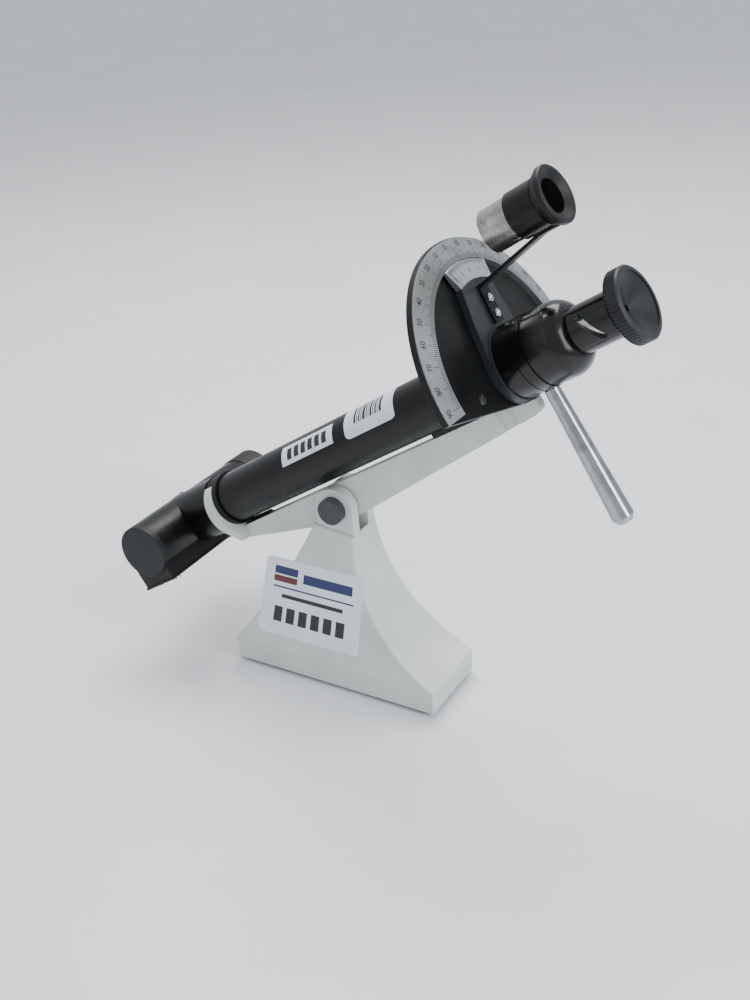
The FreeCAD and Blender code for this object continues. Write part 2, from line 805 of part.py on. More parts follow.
def make_shoe_screws():
    """Four slotted screws up through the plate."""
    screws = []
    for x, y in shoe_screw_places():
        shank = cylinder(shoe_screw_radius, shoe_screw_length, V(x, y, shoe_low), V(0, 0, 1))
        head = slotted_head(shoe_screw_head, shoe_screw_height, V(x, y, shoe_low), V(0, 0, -1), V(0, 1, 0))
        screws.append(shank.fuse(head))
    return Part.makeCompound(screws)


# Optics in the barrel.

def make_polariser_cell():
    ring = tube(tube_bore, polaroid_radius - cell_lip, polariser_x, polariser_x + cell_width)
    return ring.cut(make_polariser())


def make_polariser():
    middle = polariser_x + cell_width / 2
    return disc(polaroid_radius, middle, middle + polaroid_thickness)


def make_sample_tube():
    inset = sample_cap_face + sample_window_thickness
    return tube(sample_radius, sample_bore, sample_start + inset, sample_start + sample_length - inset)


def sample_ends():
    return [(sample_start, 1), (sample_start + sample_length, -1)]


def make_sample_windows():
    windows = []
    for x, way in sample_ends():
        windows.append(reaching(sample_window_radius, x + way * sample_cap_face, way * sample_window_thickness))
    return Part.makeCompound(windows)


def make_sample_caps():
    """Screw caps that hold a window against each end of the sample tube."""
    caps = []
    for x, way in sample_ends():
        cap = reaching(sample_cap_radius, x, way * sample_cap_width)
        cap = cap.cut(reaching(sample_cap_hole, x, way * sample_cap_width))
        window = x + way * sample_cap_face
        cap = cap.cut(reaching(sample_window_radius, window, way * sample_window_thickness))
        caps.append(cap.cut(reaching(sample_radius, window, way * sample_cap_width)))
    return Part.makeCompound(caps)


# Scale.

def make_plate():
    """Half-round plate whose lower edge falls to a round hub."""
    outer = cylinder(plate_radius, plate_thickness, V(plate_start, 0, 0), V(1, 0, 0))
    reach = math.hypot(plate_radius, plate_drop)
    flank = math.acos(plate_hub_radius / reach)
    lean = math.atan2(plate_drop, plate_radius)
    a = math.pi / 2 - lean - flank
    touch_y = plate_hub_radius * math.sin(a)
    touch_z = -plate_hub_radius * math.cos(a)
    wide = math.sqrt(plate_radius ** 2 - plate_drop ** 2)
    x = plate_start
    below = [V(x, -wide, -plate_drop), V(x, -touch_y, touch_z), V(x, -touch_y, -2 * plate_radius),
             V(x, -2 * plate_radius, -2 * plate_radius), V(x, -2 * plate_radius, -plate_drop)]
    left = Part.Face(Part.makePolygon(below + below[:1])).extrude(V(plate_thickness, 0, 0))
    right = left.mirror(V(0, 0, 0), V(0, 1, 0))
    low = box((x, -touch_y, -2 * plate_radius), (x + plate_thickness, touch_y, touch_z))
    plate = outer.cut(left).cut(right).cut(low)
    hub = cylinder(plate_hub_radius, plate_thickness, V(x, 0, 0), V(1, 0, 0))
    hole = disc(tube_radius, x - over_cut, x + plate_thickness + over_cut)
    return plate.fuse(hub).removeSplitter().cut(hole).cut(Part.makeCompound(scale_screw_blanks()))


def make_scale_ring():
    """Bevelled half ring that carries the graduations."""
    seat = plate_start + plate_thickness
    ring = turned([(seat, ring_inner), (seat, ring_outer), (seat + ring_edge, ring_outer),
                   (seat + ring_edge + ring_rise, ring_inner)])
    keep = box((seat, -2 * ring_outer, -plate_drop), (seat + 2 * ring_rise, 2 * ring_outer, 2 * ring_outer))
    return ring.common(keep)


def scale_screw_places():
    return [V(plate_start, side * scale_screw_y, scale_screw_z) for side in (-1, 1)]


def scale_screw_blanks():
    """Shank and sunk head of each screw; the same shapes cut their seats in the plate."""
    blanks = []
    for place in scale_screw_places():
        shank = cylinder(scale_screw_shank, plate_thickness, place, V(1, 0, 0))
        seat = V(plate_thickness - scale_screw_height, 0, 0)
        head = cylinder(scale_screw_radius, scale_screw_height, place + seat, V(1, 0, 0))
        blanks.append(shank.fuse(head).removeSplitter())
    return blanks


def make_scale_screws():
    """Two slotted screws, flush with the plate so that the arm clears them."""
    screws = []
    for place, blank in zip(scale_screw_places(), scale_screw_blanks()):
        slot = box((plate_thickness - slot_deep, -2 * scale_screw_radius, -slot_wide / 2),
                   (plate_thickness + slot_deep, 2 * scale_screw_radius, slot_wide / 2))
        slot.Placement = FreeCAD.Placement(place, FreeCAD.Rotation(V(1, 0, 0), scale_slot_angle))
        screws.append(blank.cut(slot))
    return Part.makeCompound(screws)


# Analyser head; housing and lever are saved in the tube frame.

def make_analyser_arm():
    """Turning hub with the arm that carries the vernier and the loupe."""
    hub = disc(analyser_hub_radius, analyser_back, hub_face)
    half = analyser_half_width
    side = [(-analyser_hub_radius, 0), (-analyser_wide_half, analyser_wide_z), (-half, vernier_inner),
            (half, vernier_inner), (analyser_wide_half, analyser_wide_z), (analyser_hub_radius, 0)]
    points = [V(analyser_back, y, z) for y, z in side]
    bar = Part.Face(Part.makePolygon(points + points[:1])).extrude(V(analyser_face - analyser_back, 0, 0))
    bar = bar.common(disc(vernier_inner, analyser_back, analyser_face))
    tongue = box((analyser_back, -tongue_half_width, 0), (vernier_seat, tongue_half_width, tongue_radius))
    body = hub.fuse(bar).fuse(tongue).removeSplitter()
    bore = disc(spigot_radius + run_gap, analyser_back - over_cut, hub_face + over_cut)
    return body.cut(bore).cut(strip_screw_shanks())


def make_vernier():
    """Bright bevelled sector that reads against the scale."""
    outer = ring_inner - body_gap
    sector = turned([(vernier_seat, vernier_inner), (vernier_seat, outer), (vernier_low_edge, outer),
                     (vernier_high_edge, vernier_inner)])
    reach = 2 * ring_inner
    a = math.radians(vernier_half_angle)
    points = [V(analyser_back, 0, 0), V(analyser_back, -reach * math.sin(a), reach * math.cos(a)),
              V(analyser_back, reach * math.sin(a), reach * math.cos(a))]
    wedge = Part.Face(Part.makePolygon(points + points[:1])).extrude(V(hub_face, 0, 0))
    return sector.common(wedge)


def make_housing():
    """Black housing behind the eyepiece: two grooves, then a rounded shoulder down to the eyepiece tube."""
    rims = [(hub_face, 0), (hub_face, housing_radius), (groove_x, housing_radius),
            (groove_x, housing_radius - groove_depth), (groove_x + groove_width, housing_radius - groove_depth),
            (groove_x + groove_width, housing_radius), (step_x, housing_radius),
            (step_x, housing_radius - step_depth), (step_x + step_width, housing_radius - step_depth),
            (step_x + step_width, housing_front_radius), (housing_end, housing_front_radius)]
    corners = [V(x, 0, r) for x, r in rims]
    nose = V(housing_nose_end, 0, housing_nose_radius)
    shoulder = V(housing_end + housing_round_x, 0, housing_front_radius - housing_round_r)
    edges = [line(a, b) for a, b in zip(corners, corners[1:])]
    edges.append(arc(corners[-1], shoulder, nose))
    edges.append(line(nose, V(housing_nose_end, 0, 0)))
    edges.append(line(V(housing_nose_end, 0, 0), corners[0]))
    shell = Part.Face(Part.Wire(edges)).revolve(V(0, 0, 0), V(1, 0, 0), 360)
    bearing = disc(spigot_radius + run_gap, hub_face - over_cut, analyser_cell_start + analyser_cell_width)
    throat = disc(eye_tube_radius, eye_tube_start, housing_nose_end + over_cut)
    middle = disc(eye_tube_bore, analyser_cell_start, housing_nose_end)
    return shell.cut(bearing).cut(throat).cut(middle).cut(rod_socket())


def rod_socket():
    return cylinder(rod_root_radius, housing_radius, V(rod_x, 0, -rod_root - housing_radius), V(0, 0, 1))


def make_analyser_cell():
    end = analyser_cell_start + analyser_cell_width
    ring = tube(spigot_radius + run_gap, polaroid_radius - cell_lip, analyser_cell_start, end)
    return ring.cut(make_analyser_disc())


def make_analyser_disc():
    middle = analyser_cell_start + analyser_cell_width / 2
    return disc(polaroid_radius, middle, middle + polaroid_thickness)


def make_rod():
    """Polished lever, slightly thicker towards its rounded end."""
    points = [(rod_root, 0), (rod_root, rod_root_radius), (housing_radius, rod_root_radius),
              (housing_radius, rod_neck_radius), (rod_end, rod_end_radius), (rod_tip, rod_tip_radius), (rod_tip, 0)]
    rod = turned(points)
    rod.Placement = FreeCAD.Placement(V(rod_x, 0, 0), FreeCAD.Rotation(V(0, 1, 0), 90))
    return rod


def make_eye_tube():
    """Outer eyepiece tube with the helical slot."""
    wall = tube(eye_tube_radius, eye_tube_bore, eye_tube_start, eye_tube_end)
    for cutter in helix_cutter():
        wall = wall.cut(cutter)
    return wall


def helix_point(part, radius):
    """Point on the helix; part runs from 0 to 1, and the angle opens from the top towards the front."""
    a = math.radians(helix_start_angle + part * helix_turn)
    x = helix_start_x + part * helix_travel
    return V(x, -radius * math.sin(a), radius * math.cos(a))


def helix_cutter():
    """Slot cutter: a ruled bar through radial sections of the helix, with a round peg at each end."""
    half = helix_width / 2
    inner = eye_tube_bore - eye_tube_wall
    outer = eye_tube_radius + eye_tube_wall
    sections = []
    for i in range(helix_steps + 1):
        part = i / helix_steps
        foot = helix_point(part, inner)
        tip = helix_point(part, outer)
        ahead = helix_point(part + 1 / helix_steps, eye_tube_radius)
        behind = helix_point(part - 1 / helix_steps, eye_tube_radius)
        side = (ahead - behind).cross(tip - foot).normalize() * half
        corners = [foot - side, tip - side, tip + side, foot + side]
        sections.append(Part.makePolygon(corners + corners[:1]))
    bar = Part.makeLoft(sections, True, True)
    ends = []
    for part in (0, 1):
        foot = helix_point(part, inner)
        way = helix_point(part, outer) - foot
        ends.append(cylinder(half, way.Length, foot, way))
    return bar, ends[0], ends[1]


# Eyepiece focus.

def make_draw_tube():
    """Bright inner tube that turns and slides in the eyepiece tube."""
    body = tube(eye_tube_bore - run_gap, draw_bore, draw_start, cap_start + cap_root)
    foot = helix_point(0, 0)
    way = helix_point(0, 1.0) - foot
    return body.cut(cylinder(guide_radius, eye_tube_radius, foot, way))


def make_guide_screw():
    """Small screw in the draw tube that follows the slot."""
    foot = helix_point(0, draw_bore + body_gap)
    way = helix_point(0, 1.0) - helix_point(0, 0)
    height = eye_tube_radius + guide_proud - draw_bore - body_gap
    return slotted_head(guide_radius, height, foot, way, V(1, 0, 0))


def make_eye_cap():
    """Large knurled cap, dished on its face, with a small sight hole."""
    lip = cap_radius - cap_rim
    seat = eye_tube_bore - run_gap
    points = [(cap_start, seat), (cap_start, cap_radius - cap_edge), (cap_start + cap_edge, cap_radius),
              (cap_end - cap_edge, cap_radius), (cap_end, cap_radius - cap_edge), (cap_end, lip),
              (cap_end - cap_edge, lip), (cap_end - dish_depth, cap_hole_radius),
              (cap_start - cap_web, cap_hole_radius), (cap_start - cap_web, draw_bore), (cap_start, draw_bore)]
    body = turned(points).cut(tube(seat, draw_bore, cap_start - cap_root, cap_start + cap_root))
    rim = cap_radius + knurl_radius / 3
    return knurl(body, (cap_start + cap_edge, rim), (cap_end - 1.5 * cap_edge, rim), knurl_count, knurl_radius)


def make_lens_cell():
    """Carrier for the eye lens; it slides with the draw tube but doesn't turn."""
    cell = tube(cell_radius, eye_lens_radius - cell_lip, cell_start, cell_start + cell_length)
    return cell.cut(make_eye_lens())


def make_eye_lens():
    """Plano-convex lens in the carrier."""
    middle = cell_start + cell_length / 2
    end = middle + eye_lens_thickness
    rim = disc(eye_lens_radius, middle, end)
    curve = eye_lens_radius * eye_lens_curve
    bulge = Part.makeSphere(curve, V(end + eye_lens_bulge - curve, 0, 0))
    dome = disc(eye_lens_radius - lens_bevel, middle, end + 2 * eye_lens_bulge).common(bulge)
    return rim.common(bulge).fuse(dome).removeSplitter()


# Reading loupe.

def lifted(shape):
    """Move a piece made on the tube axis up to the loupe's axis."""
    moved = shape.copy()
    moved.translate(V(0, 0, loupe_lift))
    return moved


def make_strip():
    """Flat strip bent twice: foot on the arm, leg, and pad under the loupe."""
    t = strip_thickness
    pad_top = loupe_lift - sleeve_radius + strip_seat
    foot_x = analyser_face
    rise = math.atan2(pad_top - t - strip_bend, strip_pad_start - foot_x)
    corners = [(foot_x, strip_foot_low), (foot_x + t, strip_foot_low),
               (foot_x + t, strip_bend - t * math.cos(rise)),
               (strip_pad_start + t * math.sin(rise), pad_top - t), (strip_pad_end, pad_top - t),
               (strip_pad_end, pad_top), (strip_pad_start, pad_top), (foot_x, strip_bend)]
    points = [V(x, strip_offset - strip_width / 2, z) for x, z in corners]
    body = Part.Face(Part.makePolygon(points + points[:1])).extrude(V(0, strip_width, 0))
    sleeve = lifted(disc(sleeve_radius, sleeve_start, sleeve_end))
    return body.cut(sleeve).cut(strip_screw_shanks())


def strip_screw_shanks():
    shanks = []
    for z in strip_screws:
        foot = V(analyser_back + strip_screw_floor, strip_offset, z)
        shanks.append(cylinder(strip_screw_shank, analyser_face + strip_thickness - foot.x, foot, V(1, 0, 0)))
    return Part.makeCompound(shanks)


def make_strip_screws():
    """Two slotted screws through the foot of the strip."""
    screws = []
    for z, shank in zip(strip_screws, strip_screw_shanks().Solids):
        base = V(analyser_face + strip_thickness, strip_offset, z)
        head = slotted_head(strip_screw_radius, strip_screw_height, base, V(1, 0, 0), V(0, 1, 0.6))
        screws.append(head.fuse(shank))
    return Part.makeCompound(screws)


def make_loupe_sleeve():
    return lifted(tube(sleeve_radius, loupe_barrel_radius + run_gap, sleeve_start, sleeve_end))


def make_loupe_barrel():
    """Worn bright barrel that slides in the sleeve to focus."""
    return lifted(tube(loupe_barrel_radius, loupe_barrel_bore, loupe_start, sleeve_end + eyecup_gap))


def make_eyecup():
    """Eyecup: a fluted flare, a plain rim and a bevelled mouth."""
    start = sleeve_end + eyecup_gap
    root = start - eyecup_spigot
    flare_end = start + eyecup_flare
    points = [(root, eyecup_hole), (root, loupe_barrel_bore), (start, loupe_barrel_bore),
              (start, eyecup_neck), (flare_end, eyecup_radius), (eyecup_end - eyecup_edge, eyecup_radius),
              (eyecup_end, eyecup_radius - eyecup_edge), (eyecup_end, eyecup_radius - eyecup_lip),
              (eyecup_end - eyecup_bevel, eyecup_hole)]
    low = (start + eyecup_edge, eyecup_neck + eyecup_edge)
    high = (flare_end - eyecup_edge, eyecup_radius - eyecup_edge / 2)
    return lifted(knurl(turned(points), low, high, eyecup_teeth, eyecup_tooth))


def make_loupe_lens():
    """Biconvex lens in the barrel."""
    end = sleeve_end + eyecup_gap - eyecup_spigot
    start = end - loupe_lens_thickness
    curve = loupe_lens_radius * loupe_lens_curve
    left = Part.makeSphere(curve, V(start - loupe_lens_bulge + curve, 0, 0))
    right = Part.makeSphere(curve, V(end + loupe_lens_bulge - curve, 0, 0))
    low = start - 2 * loupe_lens_bulge
    high = end + 2 * loupe_lens_bulge
    outline = disc(loupe_lens_radius, start, end).fuse(disc(loupe_lens_radius - lens_bevel, low, high))
    return lifted(outline.common(left).common(right))


os.makedirs("parts", exist_ok=True)

for name, shape in (
        ("stand_casting", make_stand()),
        ("base_pad", make_base_pad()),
        ("pivot_bolt", make_pivot_bolt()),
        ("pivot_washer", make_pivot_washer()),
        ("pivot_nut", make_pivot_nut()),
        ("friction_washers", make_friction_washers())):
    save(name, shape, stand_frame)

for name, shape in (
        ("cradle_arm", make_cradle()),
        ("clamp_screw", make_clamp_screw()),
        ("saddle_block", make_saddle()),
        ("saddle_screws", make_saddle_screws()),
        ("tube_collar", make_collar()),
        ("main_tube", make_main_tube()),
        ("head_bearing", make_bearing()),
        ("lamp_housing", make_lamp_housing()),
        ("housing_set_screw", make_set_screw()),
        ("front_cap", make_front_cap()),
        ("rear_cap", make_rear_cap()),
        ("lamp_inlet", make_lamp_inlet()),
        ("lamp_socket", make_lamp_socket()),
        ("lamp_bulb", make_bulb()),
        ("fold_mirror", make_mirror()),
        ("mirror_block", make_mirror_block()),
        ("colour_filter", make_filter()),
        ("filter_cell", make_filter_cell()),
        ("shoe_block", make_shoe()),
        ("shoe_plate", make_shoe_plate()),
        ("shoe_screws", make_shoe_screws()),
        ("polariser_cell", make_polariser_cell()),
        ("polariser_disc", make_polariser()),
        ("sample_tube", make_sample_tube()),
        ("sample_windows", make_sample_windows()),
        ("sample_caps", make_sample_caps()),
        ("scale_plate", make_plate()),
        ("scale_ring", make_scale_ring()),
        ("scale_screws", make_scale_screws()),
        ("eyepiece_housing", make_housing()),
        ("lever_rod", make_rod())):
    save(name, shape, tube_frame)

for name, shape in (
        ("analyser_arm", make_analyser_arm()),
        ("vernier_plate", make_vernier()),
        ("analyser_cell", make_analyser_cell()),
        ("analyser_disc", make_analyser_disc()),
        ("eyepiece_tube", make_eye_tube()),
        ("draw_tube", make_draw_tube()),
        ("guide_screw", make_guide_screw()),
        ("eye_cap", make_eye_cap()),
        ("lens_cell", make_lens_cell()),
        ("eye_lens", make_eye_lens()),
        ("loupe_bracket", make_strip()),
        ("bracket_screws", make_strip_screws()),
        ("loupe_sleeve", make_loupe_sleeve()),
        ("loupe_barrel", make_loupe_barrel()),
        ("loupe_eyecup", make_eyecup()),
        ("loupe_lens", make_loupe_lens())):
    save(name, shape, analyser_frame)
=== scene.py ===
import bpy
import bmesh
import json
import math
from mathutils import Vector, Matrix


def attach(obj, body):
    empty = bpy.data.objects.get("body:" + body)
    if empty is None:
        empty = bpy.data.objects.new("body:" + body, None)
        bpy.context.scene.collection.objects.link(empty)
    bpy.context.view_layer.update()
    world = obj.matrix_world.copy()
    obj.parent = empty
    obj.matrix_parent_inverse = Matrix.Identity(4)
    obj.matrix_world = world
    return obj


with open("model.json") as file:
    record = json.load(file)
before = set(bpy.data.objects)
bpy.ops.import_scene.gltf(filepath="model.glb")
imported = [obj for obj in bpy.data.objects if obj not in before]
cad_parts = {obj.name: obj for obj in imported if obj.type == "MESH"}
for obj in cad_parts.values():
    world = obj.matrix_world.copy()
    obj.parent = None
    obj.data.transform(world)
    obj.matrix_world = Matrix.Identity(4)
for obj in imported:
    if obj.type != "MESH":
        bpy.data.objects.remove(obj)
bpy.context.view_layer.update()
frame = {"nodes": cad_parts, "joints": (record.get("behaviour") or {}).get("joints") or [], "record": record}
mm = 0.001
nodes = frame["nodes"]
joints = {joint["name"]: joint for joint in frame["joints"]}

# the barrel's own frame: along is up the barrel, back is across it, up is square to both
along = Vector(joints["analyser_turn"]["axis"]).normalized()
back = Vector((0, 1, 0))
up = along.cross(back)
headSpot = Vector(joints["analyser_turn"]["pos_m"])
headT = 149.0  # mm up the barrel from the foot of the pivot to headSpot


def onTube(t, y, z, turn=0.0):
    # a point given in mm up, across and above the barrel's axis, turned about that axis
    a = math.radians(turn)
    across = y * math.cos(a) + z * math.sin(a)
    above = z * math.cos(a) - y * math.sin(a)
    return headSpot + (along * (t - headT) + back * across + up * above) * mm


def linear(hexText):
    # sRGB hex to linear colour
    parts = [int(hexText[i:i + 2], 16) / 255 for i in (1, 3, 5)]
    return tuple(c / 12.92 if c <= 0.04045 else ((c + 0.055) / 1.055) ** 2.4 for c in parts) + (1.0,)


# camera, made first

camera = {"spot": (0.3574, -0.5291, 0.4554), "azimuth": 32.16, "elevation": 27.76, "roll": -4.05,
          "lens": 43.08, "sensor": 36.0}


def makeCamera():
    az, el, ro = (math.radians(camera[k]) for k in ("azimuth", "elevation", "roll"))
    forward = Vector((-math.sin(az) * math.cos(el), math.cos(az) * math.cos(el), -math.sin(el)))
    level = Vector((math.cos(az), math.sin(az), 0))
    upright = level.cross(forward)
    side = level * math.cos(ro) + upright * math.sin(ro)
    top = upright * math.cos(ro) - level * math.sin(ro)
    data = bpy.data.cameras.new("camera")
    data.lens = camera["lens"]
    data.sensor_width = camera["sensor"]
    data.sensor_fit = "AUTO"
    data.clip_start = 0.01
    seat = bpy.data.objects.new("camera", data)
    turn = Matrix((side, top, -forward)).transposed().to_4x4()
    seat.matrix_world = Matrix.Translation(camera["spot"]) @ turn
    bpy.context.scene.collection.objects.link(seat)
    bpy.context.scene.camera = seat


makeCamera()
print("camera set")


# small helpers for the materials

def addNode(tree, kind, inputs=None, **settings):
    # adds a node, sets its settings, and fills or links its inputs
    node = tree.nodes.new("ShaderNode" + kind)
    for name, value in settings.items():
        setattr(node, name, value)
    for name, value in (inputs or {}).items():
        if isinstance(value, bpy.types.NodeSocket):
            tree.links.new(value, node.inputs[name])
        else:
            node.inputs[name].default_value = value
    return node


def ramp(tree, source, stops):
    # colour ramp with (place, colour) stops
    node = addNode(tree, "ValToRGB", {"Fac": source})
    bar = node.color_ramp
    while len(bar.elements) < len(stops):
        bar.elements.new(0.5)
    for element, (place, colour) in zip(bar.elements, stops):
        element.position = place
        element.color = colour if len(colour) == 4 else tuple(colour) + (1.0,)
    return node


def grey(value):
    return (value, value, value, 1.0)


def startMaterial(name, **sockets):
    # new material with its main shader; sockets are plain numbers and colours
    material = bpy.data.materials.new(name)
    material.use_nodes = True
    tree = material.node_tree
    shader = tree.nodes["Principled BSDF"]
    for key, value in sockets.items():
        shader.inputs[key.replace("_", " ")].default_value = value
    return material, tree, shader


def noise(tree, place, sizeMm, detail=3.0, rough=0.55, distortion=0.0, stretch=None):
    # noise whose spots are about sizeMm across; stretch scales each axis
    vector = place
    if stretch:
        vector = addNode(tree, "Mapping", {"Vector": place, "Scale": stretch}).outputs["Vector"]
    return addNode(tree, "TexNoise", {"Vector": vector, "Scale": 1.0 / (sizeMm * mm), "Detail": detail,
                                      "Roughness": rough, "Distortion": distortion}).outputs["Fac"]


def mix(tree, fac, a, b, blend="MIX"):
    node = addNode(tree, "MixRGB", {"Fac": fac, "Color1": a, "Color2": b}, blend_type=blend)
    return node.outputs["Color"]


def bump(tree, height, distanceMm, strength, normal=None):
    inputs = {"Height": height, "Distance": distanceMm * mm, "Strength": strength}
    if normal:
        inputs["Normal"] = normal
    return addNode(tree, "Bump", inputs).outputs["Normal"]


def tubeSpace(tree):
    # coordinates along, across and above the barrel's axis, in metres
    place = addNode(tree, "TexCoord").outputs["Object"]
    shift = addNode(tree, "VectorMath", {0: place, 1: headSpot}, operation="SUBTRACT").outputs[0]
    parts = []
    for axis in (along, back, up):
        dot = addNode(tree, "VectorMath", {0: shift, 1: axis}, operation="DOT_PRODUCT")
        parts.append(dot.outputs["Value"])
    return addNode(tree, "CombineXYZ", {"X": parts[0], "Y": parts[1], "Z": parts[2]}).outputs["Vector"]


# hammered enamel on cast iron: pale grey, a fine orange-peel skin that breaks up the highlights
castEnamel = {"base": "#c9cecb", "light": "#d0d5d2", "dark": "#c0c6c3", "grime": "#8f9693", "roughness": 0.48,
              "toneMm": 34.0, "speckMm": 1.2, "speck": 0.4, "peelMm": 0.9, "castMm": 7.0, "bumpMm": 0.12,
              "coat": 0.15, "coatRoughness": 0.3}


def makeCastEnamel(name, values):
    material, tree, shader = startMaterial(name, IOR=1.5, Coat_Weight=values["coat"],
                                           Coat_Roughness=values["coatRoughness"])
    place = addNode(tree, "TexCoord").outputs["Object"]
    wide = noise(tree, place, values["toneMm"], 2.0)
    tone = ramp(tree, wide, [(0.3, linear(values["dark"])), (0.5, linear(values["base"])),
                             (0.72, linear(values["light"]))]).outputs["Color"]
    speck = noise(tree, place, values["speckMm"], 5.0, 0.7)
    specks = ramp(tree, speck, [(0.34, grey(1.0)), (0.41, grey(0.0))]).outputs["Color"]
    soft = addNode(tree, "Math", {0: specks, 1: values["speck"]}, operation="MULTIPLY").outputs[0]
    colour = mix(tree, soft, tone, linear(values["grime"]))
    tree.links.new(colour, shader.inputs["Base Color"])
    peel = noise(tree, place, values["peelMm"], 2.0, 0.5)
    cast = noise(tree, place, values["castMm"], 2.0, 0.4)
    normal = bump(tree, cast, values["bumpMm"], 0.3)
    normal = bump(tree, peel, values["bumpMm"], 0.6, normal)
    tree.links.new(normal, shader.inputs["Normal"])
    rough = addNode(tree, "MapRange", {"Value": peel, "To Min": values["roughness"] - 0.08,
                                       "To Max": values["roughness"] + 0.10}).outputs["Result"]
    tree.links.new(rough, shader.inputs["Roughness"])
    return material


# sprayed or anodised black: a faint grain, a little dust, and rubbed patches where the sheen changes
def makeBlackEnamel(name, values):
    material, tree, shader = startMaterial(name, IOR=1.5, Coat_Weight=values["coat"],
                                           Coat_Roughness=values["coatRoughness"],
                                           Specular_IOR_Level=values["specular"])
    place = addNode(tree, "TexCoord").outputs["Object"]
    cloud = noise(tree, place, values["cloudMm"], 4.0, 0.6)
    tone = ramp(tree, cloud, [(0.3, linear(values["base"])), (0.75, linear(values["worn"]))]).outputs["Color"]
    dust = noise(tree, place, values["dustMm"], 6.0, 0.75)
    specks = ramp(tree, dust, [(0.66, grey(0.0)), (0.72, grey(1.0))]).outputs["Color"]
    soft = addNode(tree, "Math", {0: specks, 1: values["dust"]}, operation="MULTIPLY").outputs[0]
    tree.links.new(mix(tree, soft, tone, linear(values["dustTone"])), shader.inputs["Base Color"])
    grain = noise(tree, place, values["grainMm"], 3.0, 0.6)
    smear = noise(tree, place, values["smearMm"], 4.0, 0.65, 0.6)
    tree.links.new(bump(tree, grain, values["bumpMm"], 0.5), shader.inputs["Normal"])
    rough = addNode(tree, "MapRange", {"Value": smear, "From Min": 0.3, "From Max": 0.7,
                                       "To Min": values["roughness"] - values["smear"],
                                       "To Max": values["roughness"] + values["smear"]}).outputs["Result"]
    tree.links.new(rough, shader.inputs["Roughness"])
    return material


# turned or rubbed metal: fine lines along or round the barrel, with stains that dull the shine
def makeTurnedMetal(name, values):
    material, tree, shader = startMaterial(name, Metallic=1.0)
    place = tubeSpace(tree)
    lines = noise(tree, place, 1.0, 4.0, 0.7, 0.0, values["stretch"])
    stain = noise(tree, place, values["stainMm"], 5.0, 0.65, 0.8)
    tone = ramp(tree, stain, [(0.30, linear(values["dark"])), (0.52, linear(values["base"])),
                              (0.75, linear(values["light"]))]).outputs["Color"]
    shade = addNode(tree, "MapRange", {"Value": lines, "From Min": 0.3, "From Max": 0.7, "To Min": 0.78,
                                       "To Max": 1.12}).outputs["Result"]
    tinted = addNode(tree, "VectorMath", {0: tone, "Scale": shade}, operation="SCALE").outputs[0]
    tree.links.new(tinted, shader.inputs["Base Color"])
    rough = addNode(tree, "MapRange", {"Value": stain, "From Min": 0.3, "From Max": 0.75,
                                       "To Min": values["roughness"] + values["spread"],
                                       "To Max": values["roughness"] - values["spread"]}).outputs["Result"]
    tree.links.new(rough, shader.inputs["Roughness"])
    tree.links.new(bump(tree, lines, values["bumpMm"], 0.5), shader.inputs["Normal"])
    return material


# moulded or turned plastic and rubber: matt, with a fine grain and paler rubbed spots
def makeMoulded(name, values):
    material, tree, shader = startMaterial(name, IOR=1.5, Specular_IOR_Level=values["specular"])
    place = addNode(tree, "TexCoord").outputs["Object"]
    cloud = noise(tree, place, values["cloudMm"], 4.0, 0.6)
    tone = ramp(tree, cloud, [(0.3, linear(values["base"])), (0.75, linear(values["worn"]))]).outputs["Color"]
    tree.links.new(tone, shader.inputs["Base Color"])
    grain = noise(tree, place, values["grainMm"], 3.0, 0.6)
    normal = bump(tree, grain, values["bumpMm"], 0.45)
    if "ringsMm" in values:
        # turning marks round the barrel's axis
        flat = addNode(tree, "VectorMath", {0: tubeSpace(tree), 1: (0, 1, 1)},
                       operation="MULTIPLY").outputs[0]
        radius = addNode(tree, "VectorMath", {0: flat}, operation="LENGTH").outputs["Value"]
        rings = addNode(tree, "TexNoise", {"W": radius, "Scale": 1.0 / (values["ringsMm"] * mm), "Detail": 2.0},
                        noise_dimensions="1D").outputs["Fac"]
        normal = bump(tree, rings, 0.05, 0.7, normal)
    tree.links.new(normal, shader.inputs["Normal"])
    rough = addNode(tree, "MapRange", {"Value": cloud, "To Min": values["roughness"] - 0.06,
                                       "To Max": values["roughness"] + 0.08}).outputs["Result"]
    tree.links.new(rough, shader.inputs["Roughness"])
    return material


# ground and polished glass: clear, with a faint smear that softens the highlights
def makeGlass(name, values):
    material, tree, shader = startMaterial(name, IOR=values["ior"], Transmission_Weight=values["clear"])
    place = addNode(tree, "TexCoord").outputs["Object"]
    smear = noise(tree, place, 5.0, 4.0, 0.6)
    rough = addNode(tree, "MapRange", {"Value": smear, "To Min": 0.0,
                                       "To Max": values["roughness"]}).outputs["Result"]
    tree.links.new(rough, shader.inputs["Roughness"])
    tone = ramp(tree, smear, [(0.2, linear(values["base"])), (0.8, linear(values["tint"]))]).outputs["Color"]
    tree.links.new(tone, shader.inputs["Base Color"])
    return material


